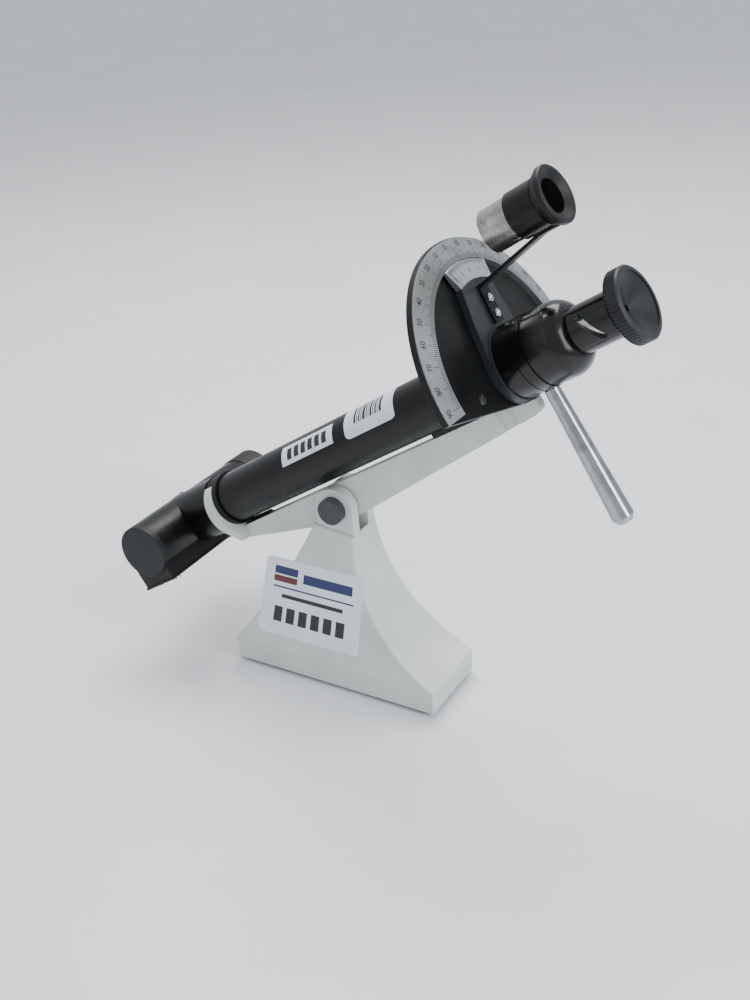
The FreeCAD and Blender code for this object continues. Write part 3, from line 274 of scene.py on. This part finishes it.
# gloss label paper: bluish white, faint fibres and a slight sheen
def makePaper(name, base, dirt):
    material, tree, shader = startMaterial(name, IOR=1.45)
    place = addNode(tree, "TexCoord").outputs["Object"]
    fibre = noise(tree, place, 0.9, 5.0, 0.7, 0.4)
    cloud = noise(tree, place, 14.0, 3.0, 0.6)
    tone = ramp(tree, cloud, [(0.35, linear(dirt)), (0.6, linear(base))]).outputs["Color"]
    fibreTone = ramp(tree, fibre, [(0.4, grey(0.3)), (0.6, grey(1.0))]).outputs["Color"]
    tree.links.new(mix(tree, 0.06, tone, fibreTone),
                   shader.inputs["Base Color"])
    tree.links.new(bump(tree, fibre, 0.03, 0.3), shader.inputs["Normal"])
    rough = addNode(tree, "MapRange", {"Value": fibre, "To Min": 0.38, "To Max": 0.55}).outputs["Result"]
    tree.links.new(rough, shader.inputs["Roughness"])
    return material


# black filled engraving and printing ink: dull and slightly uneven
def makeInk(name, colour):
    material, tree, shader = startMaterial(name, IOR=1.5)
    place = addNode(tree, "TexCoord").outputs["Object"]
    grain = noise(tree, place, 0.5, 4.0, 0.7)
    tone = ramp(tree, grain, [(0.3, linear(colour)), (0.9, linear("#26292b"))]).outputs["Color"]
    tree.links.new(tone, shader.inputs["Base Color"])
    rough = addNode(tree, "MapRange", {"Value": grain, "To Min": 0.4, "To Max": 0.6}).outputs["Result"]
    tree.links.new(rough, shader.inputs["Roughness"])
    return material


blackEnamel = {"base": "#040505", "worn": "#0b0c0d", "roughness": 0.32, "smear": 0.08, "grainMm": 0.9,
               "cloudMm": 18.0, "smearMm": 7.0, "bumpMm": 0.05,
               "dustMm": 1.2, "dust": 0.06, "dustTone": "#6d7271",
               "coat": 0.06, "coatRoughness": 0.28, "specular": 0.26}
glossEnamel = dict(blackEnamel, base="#040505", worn="#0a0b0c", roughness=0.22, smear=0.08, bumpMm=0.02,
                   coat=0.22, coatRoughness=0.12, dust=0.05, specular=0.3)
mattEnamel = dict(blackEnamel, base="#08090a", worn="#101213", roughness=0.46, coat=0.0, dust=0.08)
capEnamel = dict(blackEnamel, base="#131516", worn="#1e2022", roughness=0.5, coat=0.05)
plateEnamel = dict(blackEnamel, base="#08090a", worn="#121415", roughness=0.4, smear=0.1, coat=0.0)
# analyser arm: dark enamel whose grey base is painted light, the lit grey of its face drawn into the colour
armPaintedLightGrey = dict(blackEnamel, base="#26292b", worn="#323538", roughness=0.38, smear=0.06, coat=0.1)
boltBlack = dict(blackEnamel, base="#33373a", worn="#474c4f", roughness=0.5, coat=0.0, dust=0.05)
bakelite = {"base": "#090a0b", "worn": "#141617", "cloudMm": 12.0, "grainMm": 0.7, "bumpMm": 0.08,
            "roughness": 0.42, "specular": 0.32}
turnedBakelite = dict(bakelite, base="#121415", worn="#1e2022", roughness=0.36, ringsMm=0.7, specular=0.4)
# base pad: black rubber, and its dark sheet also stands in for the shadow gap under the slab, so it is partly
# painted shade
rubberPadAndGapShade = dict(bakelite, base="#0f1010", worn="#1d1e1e", grainMm=0.8, roughness=0.78, specular=0.3)
fibreBoard = dict(bakelite, base="#241a15", worn="#3a2c24", grainMm=0.6, roughness=0.85, specular=0.3)
porcelain = dict(bakelite, base="#d8d2c4", worn="#e6e1d6", grainMm=0.9, roughness=0.6, specular=0.5)
scaleMetal = {"base": "#b4b6b6", "light": "#c4c6c6", "dark": "#989a9b", "roughness": 0.40, "spread": 0.06,
              "stainMm": 16.0, "stretch": (1.0, 1.0, 1.0), "bumpMm": 0.02}
vernierMetal = dict(scaleMetal, base="#d2d4d4", light="#dfe1e1", dark="#b9bcbc", roughness=0.34)
nickel = {"base": "#b3b1ab", "light": "#d2d0ca", "dark": "#6f6d68", "roughness": 0.27, "spread": 0.12,
          "stainMm": 9.0, "stretch": (2.2, 0.25, 0.25), "bumpMm": 0.03}
brightNickel = dict(nickel, base="#c4c3be", light="#d8d7d2", dark="#9b9a94", roughness=0.18, spread=0.05)
polishedSteel = {"base": "#a9abad", "light": "#c3c5c7", "dark": "#85878a", "roughness": 0.13, "spread": 0.05,
                 "stainMm": 22.0, "stretch": (1.2, 1.2, 0.08), "bumpMm": 0.01}
zincSteel = dict(polishedSteel, base="#9c9ea0", roughness=0.34, spread=0.08, stretch=(1.0, 1.0, 1.0),
                 stainMm=5.0)
brightScrew = dict(zincSteel, base="#c9cbcc", light="#dddfe0", dark="#8f9193", roughness=0.2)
turnedBrass = dict(brightNickel, base="#b08d4a", light="#c9a868", dark="#7d6130", roughness=0.3)
plainAluminium = dict(zincSteel, base="#b4b6b7", light="#c6c8c9", dark="#96989a", roughness=0.35)

bulbGlass = {"ior": 1.47, "clear": 1.0, "roughness": 0.05, "base": "#f4f5f2", "tint": "#e9ebe6"}
filterGlass = {"ior": 1.52, "clear": 0.9, "roughness": 0.05, "base": "#e8932a", "tint": "#d97f18"}
polarisingGlass = {"ior": 1.5, "clear": 0.7, "roughness": 0.1, "base": "#565b5a", "tint": "#4a4f4e"}
tubeGlass = {"ior": 1.5, "clear": 1.0, "roughness": 0.03, "base": "#eef5f2", "tint": "#e2ece8"}
lensGlass = {"ior": 1.52, "clear": 1.0, "roughness": 0.02, "base": "#eef2f6", "tint": "#e2e9f2"}
mirrorSilver = dict(polishedSteel, base="#dfe3e4", light="#eceff0", dark="#ccd0d1", roughness=0.05,
                    spread=0.02)

# material slot: maker, name of the material, its values
finishes = {
    "stand_paint": (makeCastEnamel, "hammeredEnamelStand", castEnamel),
    "cradle_paint": (makeCastEnamel, "hammeredEnamelCradle", castEnamel),
    # base pad: real black rubber, partly painted shade for the gap under the slab
    "pad_rubber": (makeMoulded, "mouldedRubberPad", rubberPadAndGapShade),
    "pivot_black": (makeBlackEnamel, "blackenedSteelPin", boltBlack),
    "zinc_steel": (makeTurnedMetal, "zincPlatedSteel", zincSteel),
    "fibre": (makeMoulded, "pressedFibreWasher", fibreBoard),
    "screw_black": (makeBlackEnamel, "blackenedSteelScrew", mattEnamel),
    "barrel_enamel": (makeBlackEnamel, "satinEnamelBarrel", blackEnamel),
    "dark_screw": (makeBlackEnamel, "blackenedSteelSmallScrew", boltBlack),
    "collar_black": (makeBlackEnamel, "mattEnamelCollar", mattEnamel),
    "bearing_brass": (makeTurnedMetal, "turnedBrass", turnedBrass),
    "lamp_enamel": (makeBlackEnamel, "satinEnamelLampHousing", blackEnamel),
    "cap_black": (makeBlackEnamel, "mattEnamelCap", capEnamel),
    "inlet_black": (makeMoulded, "mouldedInlet", bakelite),
    "socket_ceramic": (makeMoulded, "firedPorcelainSocket", porcelain),
    "bulb_glass": (makeGlass, "blownBulbGlass", bulbGlass),
    "mirror_glass": (makeTurnedMetal, "silveredGlass", mirrorSilver),
    "bare_aluminium": (makeTurnedMetal, "machinedAluminium", plainAluminium),
    "filter_glass": (makeGlass, "orangeFilterGlass", filterGlass),
    "cell_black": (makeBlackEnamel, "blackAnodisedCell", mattEnamel),
    "shoe_enamel": (makeBlackEnamel, "satinEnamelShoe", mattEnamel),
    "bright_screw": (makeTurnedMetal, "nickelPlatedScrew", brightScrew),
    "polaroid": (makeGlass, "polarisingSheet", polarisingGlass),
    "sample_glass": (makeGlass, "drawnGlassTube", tubeGlass),
    "plate_black": (makeBlackEnamel, "blackAnodisedPlate", plateEnamel),
    "scale_silver": (makeTurnedMetal, "satinAluminiumScale", scaleMetal),
    # analyser arm: dark enamel with a painted highlight grey in its base colour
    "arm_grey": (makeBlackEnamel, "greyAnodisedArm", armPaintedLightGrey),
    "vernier_silver": (makeTurnedMetal, "satinAluminiumVernier", vernierMetal),
    "housing_gloss": (makeBlackEnamel, "glossEnamelHousing", glossEnamel),
    "polished_rod": (makeTurnedMetal, "polishedSteelRod", polishedSteel),
    "draw_nickel": (makeTurnedMetal, "nickelPlatedDrawTube", brightNickel),
    "eyecap_black": (makeMoulded, "turnedBakeliteEyeCap", turnedBakelite),
    "lens_glass": (makeGlass, "coatedLensGlass", lensGlass),
    "strip_black": (makeBlackEnamel, "blackenedSteelStrip", mattEnamel),
    "sleeve_black": (makeBlackEnamel, "satinEnamelSleeve", blackEnamel),
    "loupe_nickel": (makeTurnedMetal, "wornNickelBarrel", nickel),
    "eyecup_black": (makeMoulded, "mouldedEyecup", bakelite),
}

# every CAD piece takes the finish of its slot
slotOf = {part["node"]: part["material_slot"] for part in frame["record"]["subparts"]}
made = {slot: maker(name, values) for slot, (maker, name, values) in finishes.items()}

# worn edge on the cast, sawn and milled pieces; turned pieces keep their own clean shoulders
edges = {"widthMm": 0.35, "segments": 2, "angle": 32.0,
         "nodes": ("cradle_arm", "saddle_block", "shoe_block", "shoe_plate", "pivot_nut", "scale_plate",
                   "analyser_arm", "loupe_bracket", "vernier_plate", "base_pad")}


def dressNode(name):
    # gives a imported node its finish
    node = nodes[name]
    material = made[slotOf[name]]
    if not node.material_slots:
        node.data.materials.append(material)
    for place in node.material_slots:
        place.material = material


def breakEdges(name):
    # a small rounded edge that catches the light
    node = nodes[name]
    weld = node.modifiers.new("weld", "WELD")
    weld.merge_threshold = 0.00001
    bevel = node.modifiers.new("edge", "BEVEL")
    bevel.width = edges["widthMm"] * mm
    bevel.segments = edges["segments"]
    bevel.limit_method = "ANGLE"
    bevel.angle_limit = math.radians(edges["angle"])
    node.modifiers.new("shading", "WEIGHTED_NORMAL").keep_sharp = True


for name in nodes:
    dressNode(name)
for name in edges["nodes"]:
    breakEdges(name)
print("finishes set on", len(nodes), "nodes")


# helpers for the added pieces

def addPiece(name, mesh, material, body):
    # makes a visible piece that moves with the body
    piece = bpy.data.objects.new(name, mesh)
    bpy.context.scene.collection.objects.link(piece)
    mesh.materials.append(material)
    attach(piece, body)


def patchMesh(name, rows, columns, place, thicknessMm):
    # closed thin sheet; place(u, v, lift) gives a point for u and v from 0 to 1, lift in mm
    mesh = bmesh.new()
    grids = []
    for lift in (0.0, thicknessMm):
        grid = [[mesh.verts.new(place(i / columns, j / rows, lift)) for i in range(columns + 1)]
                for j in range(rows + 1)]
        grids.append(grid)
    for side, grid in enumerate(grids):
        for j in range(rows):
            for i in range(columns):
                loop = [grid[j][i], grid[j][i + 1], grid[j + 1][i + 1], grid[j + 1][i]]
                mesh.faces.new(loop if side else loop[::-1])
    low, high = grids
    rim = [(0, i) for i in range(columns)] + [(j, columns) for j in range(rows)]
    rim += [(rows, i) for i in range(columns, 0, -1)] + [(j, 0) for j in range(rows, 0, -1)]
    for (a, b), (c, d) in zip(rim, rim[1:] + rim[:1]):
        mesh.faces.new([low[a][b], low[c][d], high[c][d], high[a][b]])
    bmesh.ops.recalc_face_normals(mesh, faces=mesh.faces)
    data = bpy.data.meshes.new(name)
    mesh.to_mesh(data)
    mesh.free()
    for face in data.polygons:
        face.use_smooth = False
    return data


def roundedRow(v, high, corner):
    # how far a rounded rectangle's side pulls in at height v, in mm
    y = min(v, 1 - v) * high
    if y >= corner:
        return 0.0
    return corner - math.sqrt(max(corner ** 2 - (corner - y) ** 2, 0.0))


markInk = makeInk("engravedBlackInk", "#0b0c0d")
markPaper = makePaper("glossPaperLabel", "#e4e8f0", "#dbe0ea")

# degree scale and vernier: radii, and where their bevelled faces lie up the barrel, in mm
scale = {"inner": 59.4, "outer": 71.8, "lowT": 147.0, "highT": 149.2, "tickWidth": 0.26, "tickLift": 0.04,
         "numeralR": 68.3, "numeralMm": 4.3, "tick1": 2.6, "tick5": 4.0, "tick10": 5.4, "margin": 0.25,
         "reach": 90}
vernier = {"inner": 47.5, "outer": 59.0, "lowT": 149.4, "highT": 151.6, "turn": 6.0, "tickWidth": 0.2,
           "tickLift": 0.04, "numeralR": 52.6, "numeralMm": 3.4, "tick1": 2.4, "tick5": 3.8,
           "margin": 0.2, "step": 0.855,
           "count": 20, "numerals": ((-17.1, "2"), (-8.5, "1"), (0.0, "0"), (8.5, "1"), (17.1, "2"))}


def conePoint(values, angle, radius, lift):
    # point over the bevelled face, angle in degrees from the top towards the back
    fall = (values["outer"] - radius) / (values["outer"] - values["inner"])
    t = values["lowT"] + (values["highT"] - values["lowT"]) * fall + lift
    a = math.radians(angle)
    return onTube(t, radius * math.sin(a), radius * math.cos(a), values.get("turn", 0.0))


def addTick(mesh, values, angle, start, end):
    # one thin raised line on the bevelled face, from radius start to radius end
    half = math.degrees(values["tickWidth"] / 2 / start)
    corners = []
    for lift in (-0.02, values["tickLift"]):
        for a, r in ((-half, start), (half, start), (half, end), (-half, end)):
            corners.append(mesh.verts.new(conePoint(values, angle + a, r, lift)))
    low, high = corners[:4], corners[4:]
    mesh.faces.new(low[::-1])
    mesh.faces.new(high)
    for i in range(4):
        mesh.faces.new([low[i], low[(i + 1) % 4], high[(i + 1) % 4], high[i]])


def addNumeral(mesh, values, angle, text):
    # digits laid on the bevelled face, their tops outwards
    font = bpy.data.curves.new("digits", "FONT")
    font.body = text
    font.size = values["numeralMm"]
    font.align_x = "CENTER"
    font.align_y = "CENTER"
    font.extrude = values["tickLift"] / 2
    font.offset = 0.05
    font.resolution_u = 3
    maker = bpy.data.objects.new("digits", font)
    bpy.context.scene.collection.objects.link(maker)
    bpy.context.view_layer.update()
    flat = bpy.data.meshes.new_from_object(maker.evaluated_get(bpy.context.evaluated_depsgraph_get()))
    points = []
    for vertex in flat.vertices:
        x, y, z = vertex.co
        r = values["numeralR"] + y
        points.append(mesh.verts.new(conePoint(values, angle + math.degrees(x / r), r, z)))
    for face in flat.polygons:
        mesh.faces.new([points[i] for i in face.vertices])
    bpy.data.objects.remove(maker)
    bpy.data.meshes.remove(flat)
    bpy.data.curves.remove(font)


def makeGraduations(name, values, ticks, numerals, body):
    # all ticks and numerals of one scale as one piece
    mesh = bmesh.new()
    for angle, start, end in ticks:
        addTick(mesh, values, angle, start, end)
    for angle, text in numerals:
        addNumeral(mesh, values, angle, text)
    bmesh.ops.recalc_face_normals(mesh, faces=mesh.faces)
    data = bpy.data.meshes.new(name)
    mesh.to_mesh(data)
    mesh.free()
    addPiece(name, data, markInk, body)


scaleTicks = []
for angle in range(-scale["reach"], scale["reach"] + 1):
    length = scale["tick10"] if angle % 10 == 0 else scale["tick5"] if angle % 5 == 0 else scale["tick1"]
    foot = scale["inner"] + scale["margin"]
    scaleTicks.append((angle, foot, foot + length))
scaleNumerals = [(angle, str(abs(angle))) for angle in range(-scale["reach"], scale["reach"] + 1, 10)]
makeGraduations("scale_graduations", scale, scaleTicks, scaleNumerals, "cradle")

vernierTicks = []
for i in range(-vernier["count"], vernier["count"] + 1):
    length = vernier["tick5"] if i % 5 == 0 else vernier["tick1"]
    tip = vernier["outer"] - vernier["margin"]
    vernierTicks.append((i * vernier["step"], tip - length, tip))
makeGraduations("vernier_graduations", vernier, vernierTicks, vernier["numerals"], "analyser")
print("scales drawn")

# paper labels, with plain bars where the printing was

# label on the stand's front face; left and right give its upper and lower corner
standLabel = {"topZ": 81.5, "bottomZ": 28.0, "left": (-46.0, -55.0), "right": (24.0, 20.0), "corner": 3.0,
              "thick": 0.12, "glue": 0.06, "rows": 40, "columns": 12}
standFace = {"lowZ": 18.0, "lowY": -26.75, "highZ": 108.5, "highY": -13.3}


def onStand(x, z, lift):
    # a point over the stand's sloping front face, in mm
    share = (z - standFace["lowZ"]) / (standFace["highZ"] - standFace["lowZ"])
    y = standFace["lowY"] + (standFace["highY"] - standFace["lowY"]) * share
    return Vector((x, y - lift, z)) * mm


def labelPoint(u, v, lift):
    high = standLabel["topZ"] - standLabel["bottomZ"]
    z = standLabel["bottomZ"] + v * high
    left = standLabel["left"][1] + (standLabel["left"][0] - standLabel["left"][1]) * v
    right = standLabel["right"][1] + (standLabel["right"][0] - standLabel["right"][1]) * v
    pull = roundedRow(v, high, standLabel["corner"])
    return onStand(left + pull + (right - left - 2 * pull) * u, z, lift + standLabel["glue"])


sheet = patchMesh("stand_label", standLabel["rows"], standLabel["columns"], labelPoint, standLabel["thick"])
addPiece("stand_label", sheet, markPaper, "stand")


def barOnLabel(name, u0, u1, v0, v1, material):
    # printed bar; u and v run from 0 to 1 over the label
    def place(u, v, lift):
        return labelPoint(u0 + (u1 - u0) * u, v0 + (v1 - v0) * v, lift + standLabel["thick"] - 0.02)
    addPiece(name, patchMesh(name, 1, 6, place, 0.04), material, "stand")


blueInk = makeInk("printedBlueInk", "#1c2c6b")
redInk = makeInk("printedRedInk", "#6f2231")
blackInk = makeInk("printedBlackInk", "#16171a")
labelBars = (("band", 0.10, 0.34, 0.80, 0.90, blueInk),
             ("band_low", 0.10, 0.34, 0.70, 0.78, redInk),
             ("title", 0.40, 0.90, 0.74, 0.86, blueInk),
             ("rule", 0.10, 0.92, 0.625, 0.645, blueInk),
             ("line", 0.20, 0.82, 0.50, 0.55, blackInk))
labelBlocks = {"count": 6, "start": 0.14, "wide": 0.085, "pitch": 0.125, "low": 0.18, "high": 0.38}
for part, u0, u1, v0, v1, ink in labelBars:
    barOnLabel("stand_label_" + part, u0, u1, v0, v1, ink)
for i in range(labelBlocks["count"]):
    start = labelBlocks["start"] + i * labelBlocks["pitch"]
    barOnLabel("stand_label_block_%d" % i, start, start + labelBlocks["wide"], labelBlocks["low"],
               labelBlocks["high"], blackInk)


barrelRadius = 16.0
paperOnBarrel = {"lift": 0.03, "thick": 0.1}
inkOnBarrel = {"lift": 0.12, "thick": 0.03}


def tubePatch(name, t0, t1, a0, a1, layer, material, corner=0.0):
    # sheet wrapped on the barrel between two angles, measured from the top towards the front
    def place(u, v, lift):
        pull = roundedRow(v, math.radians(a1 - a0) * barrelRadius, corner) if corner else 0.0
        a = math.radians(a0 + (a1 - a0) * v)
        r = barrelRadius + layer["lift"] + lift
        return onTube(t0 + pull + (t1 - t0 - 2 * pull) * u, -r * math.sin(a), r * math.cos(a))
    rows = max(2, int(abs(a1 - a0) / 3))
    addPiece(name, patchMesh(name, rows, 4, place, layer["thick"]), material, "cradle")


# labels round the barrel: mm up the barrel, and degrees from the top towards the front
tapeLabel = {"start": -15.0, "end": 29.0, "top": 24.0, "bottom": 70.0, "marks": 6, "markStart": 5.0,
             "markPitch": 6.0, "markWide": 4.0, "markTop": 34.0, "markBottom": 60.0}
codeLabel = {"start": 39.0, "end": 78.0, "top": -8.0, "bottom": 78.0, "corner": 3.0, "margin": 8.0,
             "stripes": (1.6, 0.6, 1.1, 0.6, 2.0, 0.9, 0.6, 1.5, 0.7, 1.2, 0.6, 1.8), "gap": 0.8,
             "stripeTop": 12.0, "stripeBottom": 52.0}
tubePatch("barrel_tape_label", tapeLabel["start"], tapeLabel["end"], tapeLabel["top"], tapeLabel["bottom"],
          paperOnBarrel, markPaper)
tubePatch("barrel_code_label", codeLabel["start"], codeLabel["end"], codeLabel["top"], codeLabel["bottom"],
          paperOnBarrel, markPaper, codeLabel["corner"])
for i in range(tapeLabel["marks"]):
    start = tapeLabel["start"] + tapeLabel["markStart"] + i * tapeLabel["markPitch"]
    tubePatch("barrel_tape_mark_%d" % i, start, start + tapeLabel["markWide"], tapeLabel["markTop"],
              tapeLabel["markBottom"], inkOnBarrel, blackInk)
start = codeLabel["start"] + codeLabel["margin"]
for i, wide in enumerate(codeLabel["stripes"]):
    tubePatch("barrel_code_stripe_%d" % i, start, start + wide, codeLabel["stripeTop"],
              codeLabel["stripeBottom"], inkOnBarrel, blackInk)
    start += wide + codeLabel["gap"]
print("labels laid")

# floor and light

floorPaint = {"base": "#e6e8eb", "dark": "#dfe1e5", "roughness": 0.42, "cloudMm": 120.0, "halfSize": 6.0}


def makeFloor():
    # pale sealed bench: an even tone with a soft reflection
    material, tree, shader = startMaterial("sealedPaleBench")
    place = addNode(tree, "TexCoord").outputs["Object"]
    cloud = noise(tree, place, floorPaint["cloudMm"], 4.0, 0.6)
    tone = ramp(tree, cloud, [(0.3, linear(floorPaint["dark"])), (0.7, linear(floorPaint["base"]))])
    tree.links.new(tone.outputs["Color"], shader.inputs["Base Color"])
    shader.inputs["Roughness"].default_value = floorPaint["roughness"]
    mesh = bpy.data.meshes.new("bench_top")
    half = floorPaint["halfSize"]
    corners = [(-half, -half, 0), (half, -half, 0), (half, half, 0), (-half, half, 0)]
    mesh.from_pydata(corners, [], [(0, 1, 2, 3)])
    mesh.materials.append(material)
    floor = bpy.data.objects.new("bench_top", mesh)
    bpy.context.scene.collection.objects.link(floor)


def addLight(name, spot, target, size, power, colour):
    # rectangular soft light aimed at the target
    data = bpy.data.lights.new(name, "AREA")
    data.shape = "RECTANGLE"
    data.size, data.size_y = size
    data.energy = power
    data.color = colour
    light = bpy.data.objects.new(name, data)
    light.location = spot
    light.rotation_euler = (Vector(target) - Vector(spot)).to_track_quat("-Z", "Y").to_euler()
    bpy.context.scene.collection.objects.link(light)


makeFloor()
middle = (0.0, 0.0, 0.15)
# name, place in metres, size in metres, watts, colour
lights = (("overhead_softbox", (-0.35, 0.55, 1.35), (1.3, 0.8), 26.0, (1.0, 0.99, 0.97)),
          ("right_window", (1.25, -0.25, 0.9), (0.6, 1.1), 15.0, (0.95, 0.98, 1.0)),
          ("front_fill", (-0.9, -1.4, 0.9), (1.2, 1.2), 1.0, (1.0, 1.0, 1.0)))
sky = {"colour": "#eef2f8", "strength": 0.9}
for name, spot, size, power, colour in lights:
    addLight(name, spot, middle, size, power, colour)
world = bpy.data.worlds.new("studio")
world.use_nodes = True
world.node_tree.nodes["Background"].inputs["Color"].default_value = linear(sky["colour"])
world.node_tree.nodes["Background"].inputs["Strength"].default_value = sky["strength"]
bpy.context.scene.world = world
print("light set")
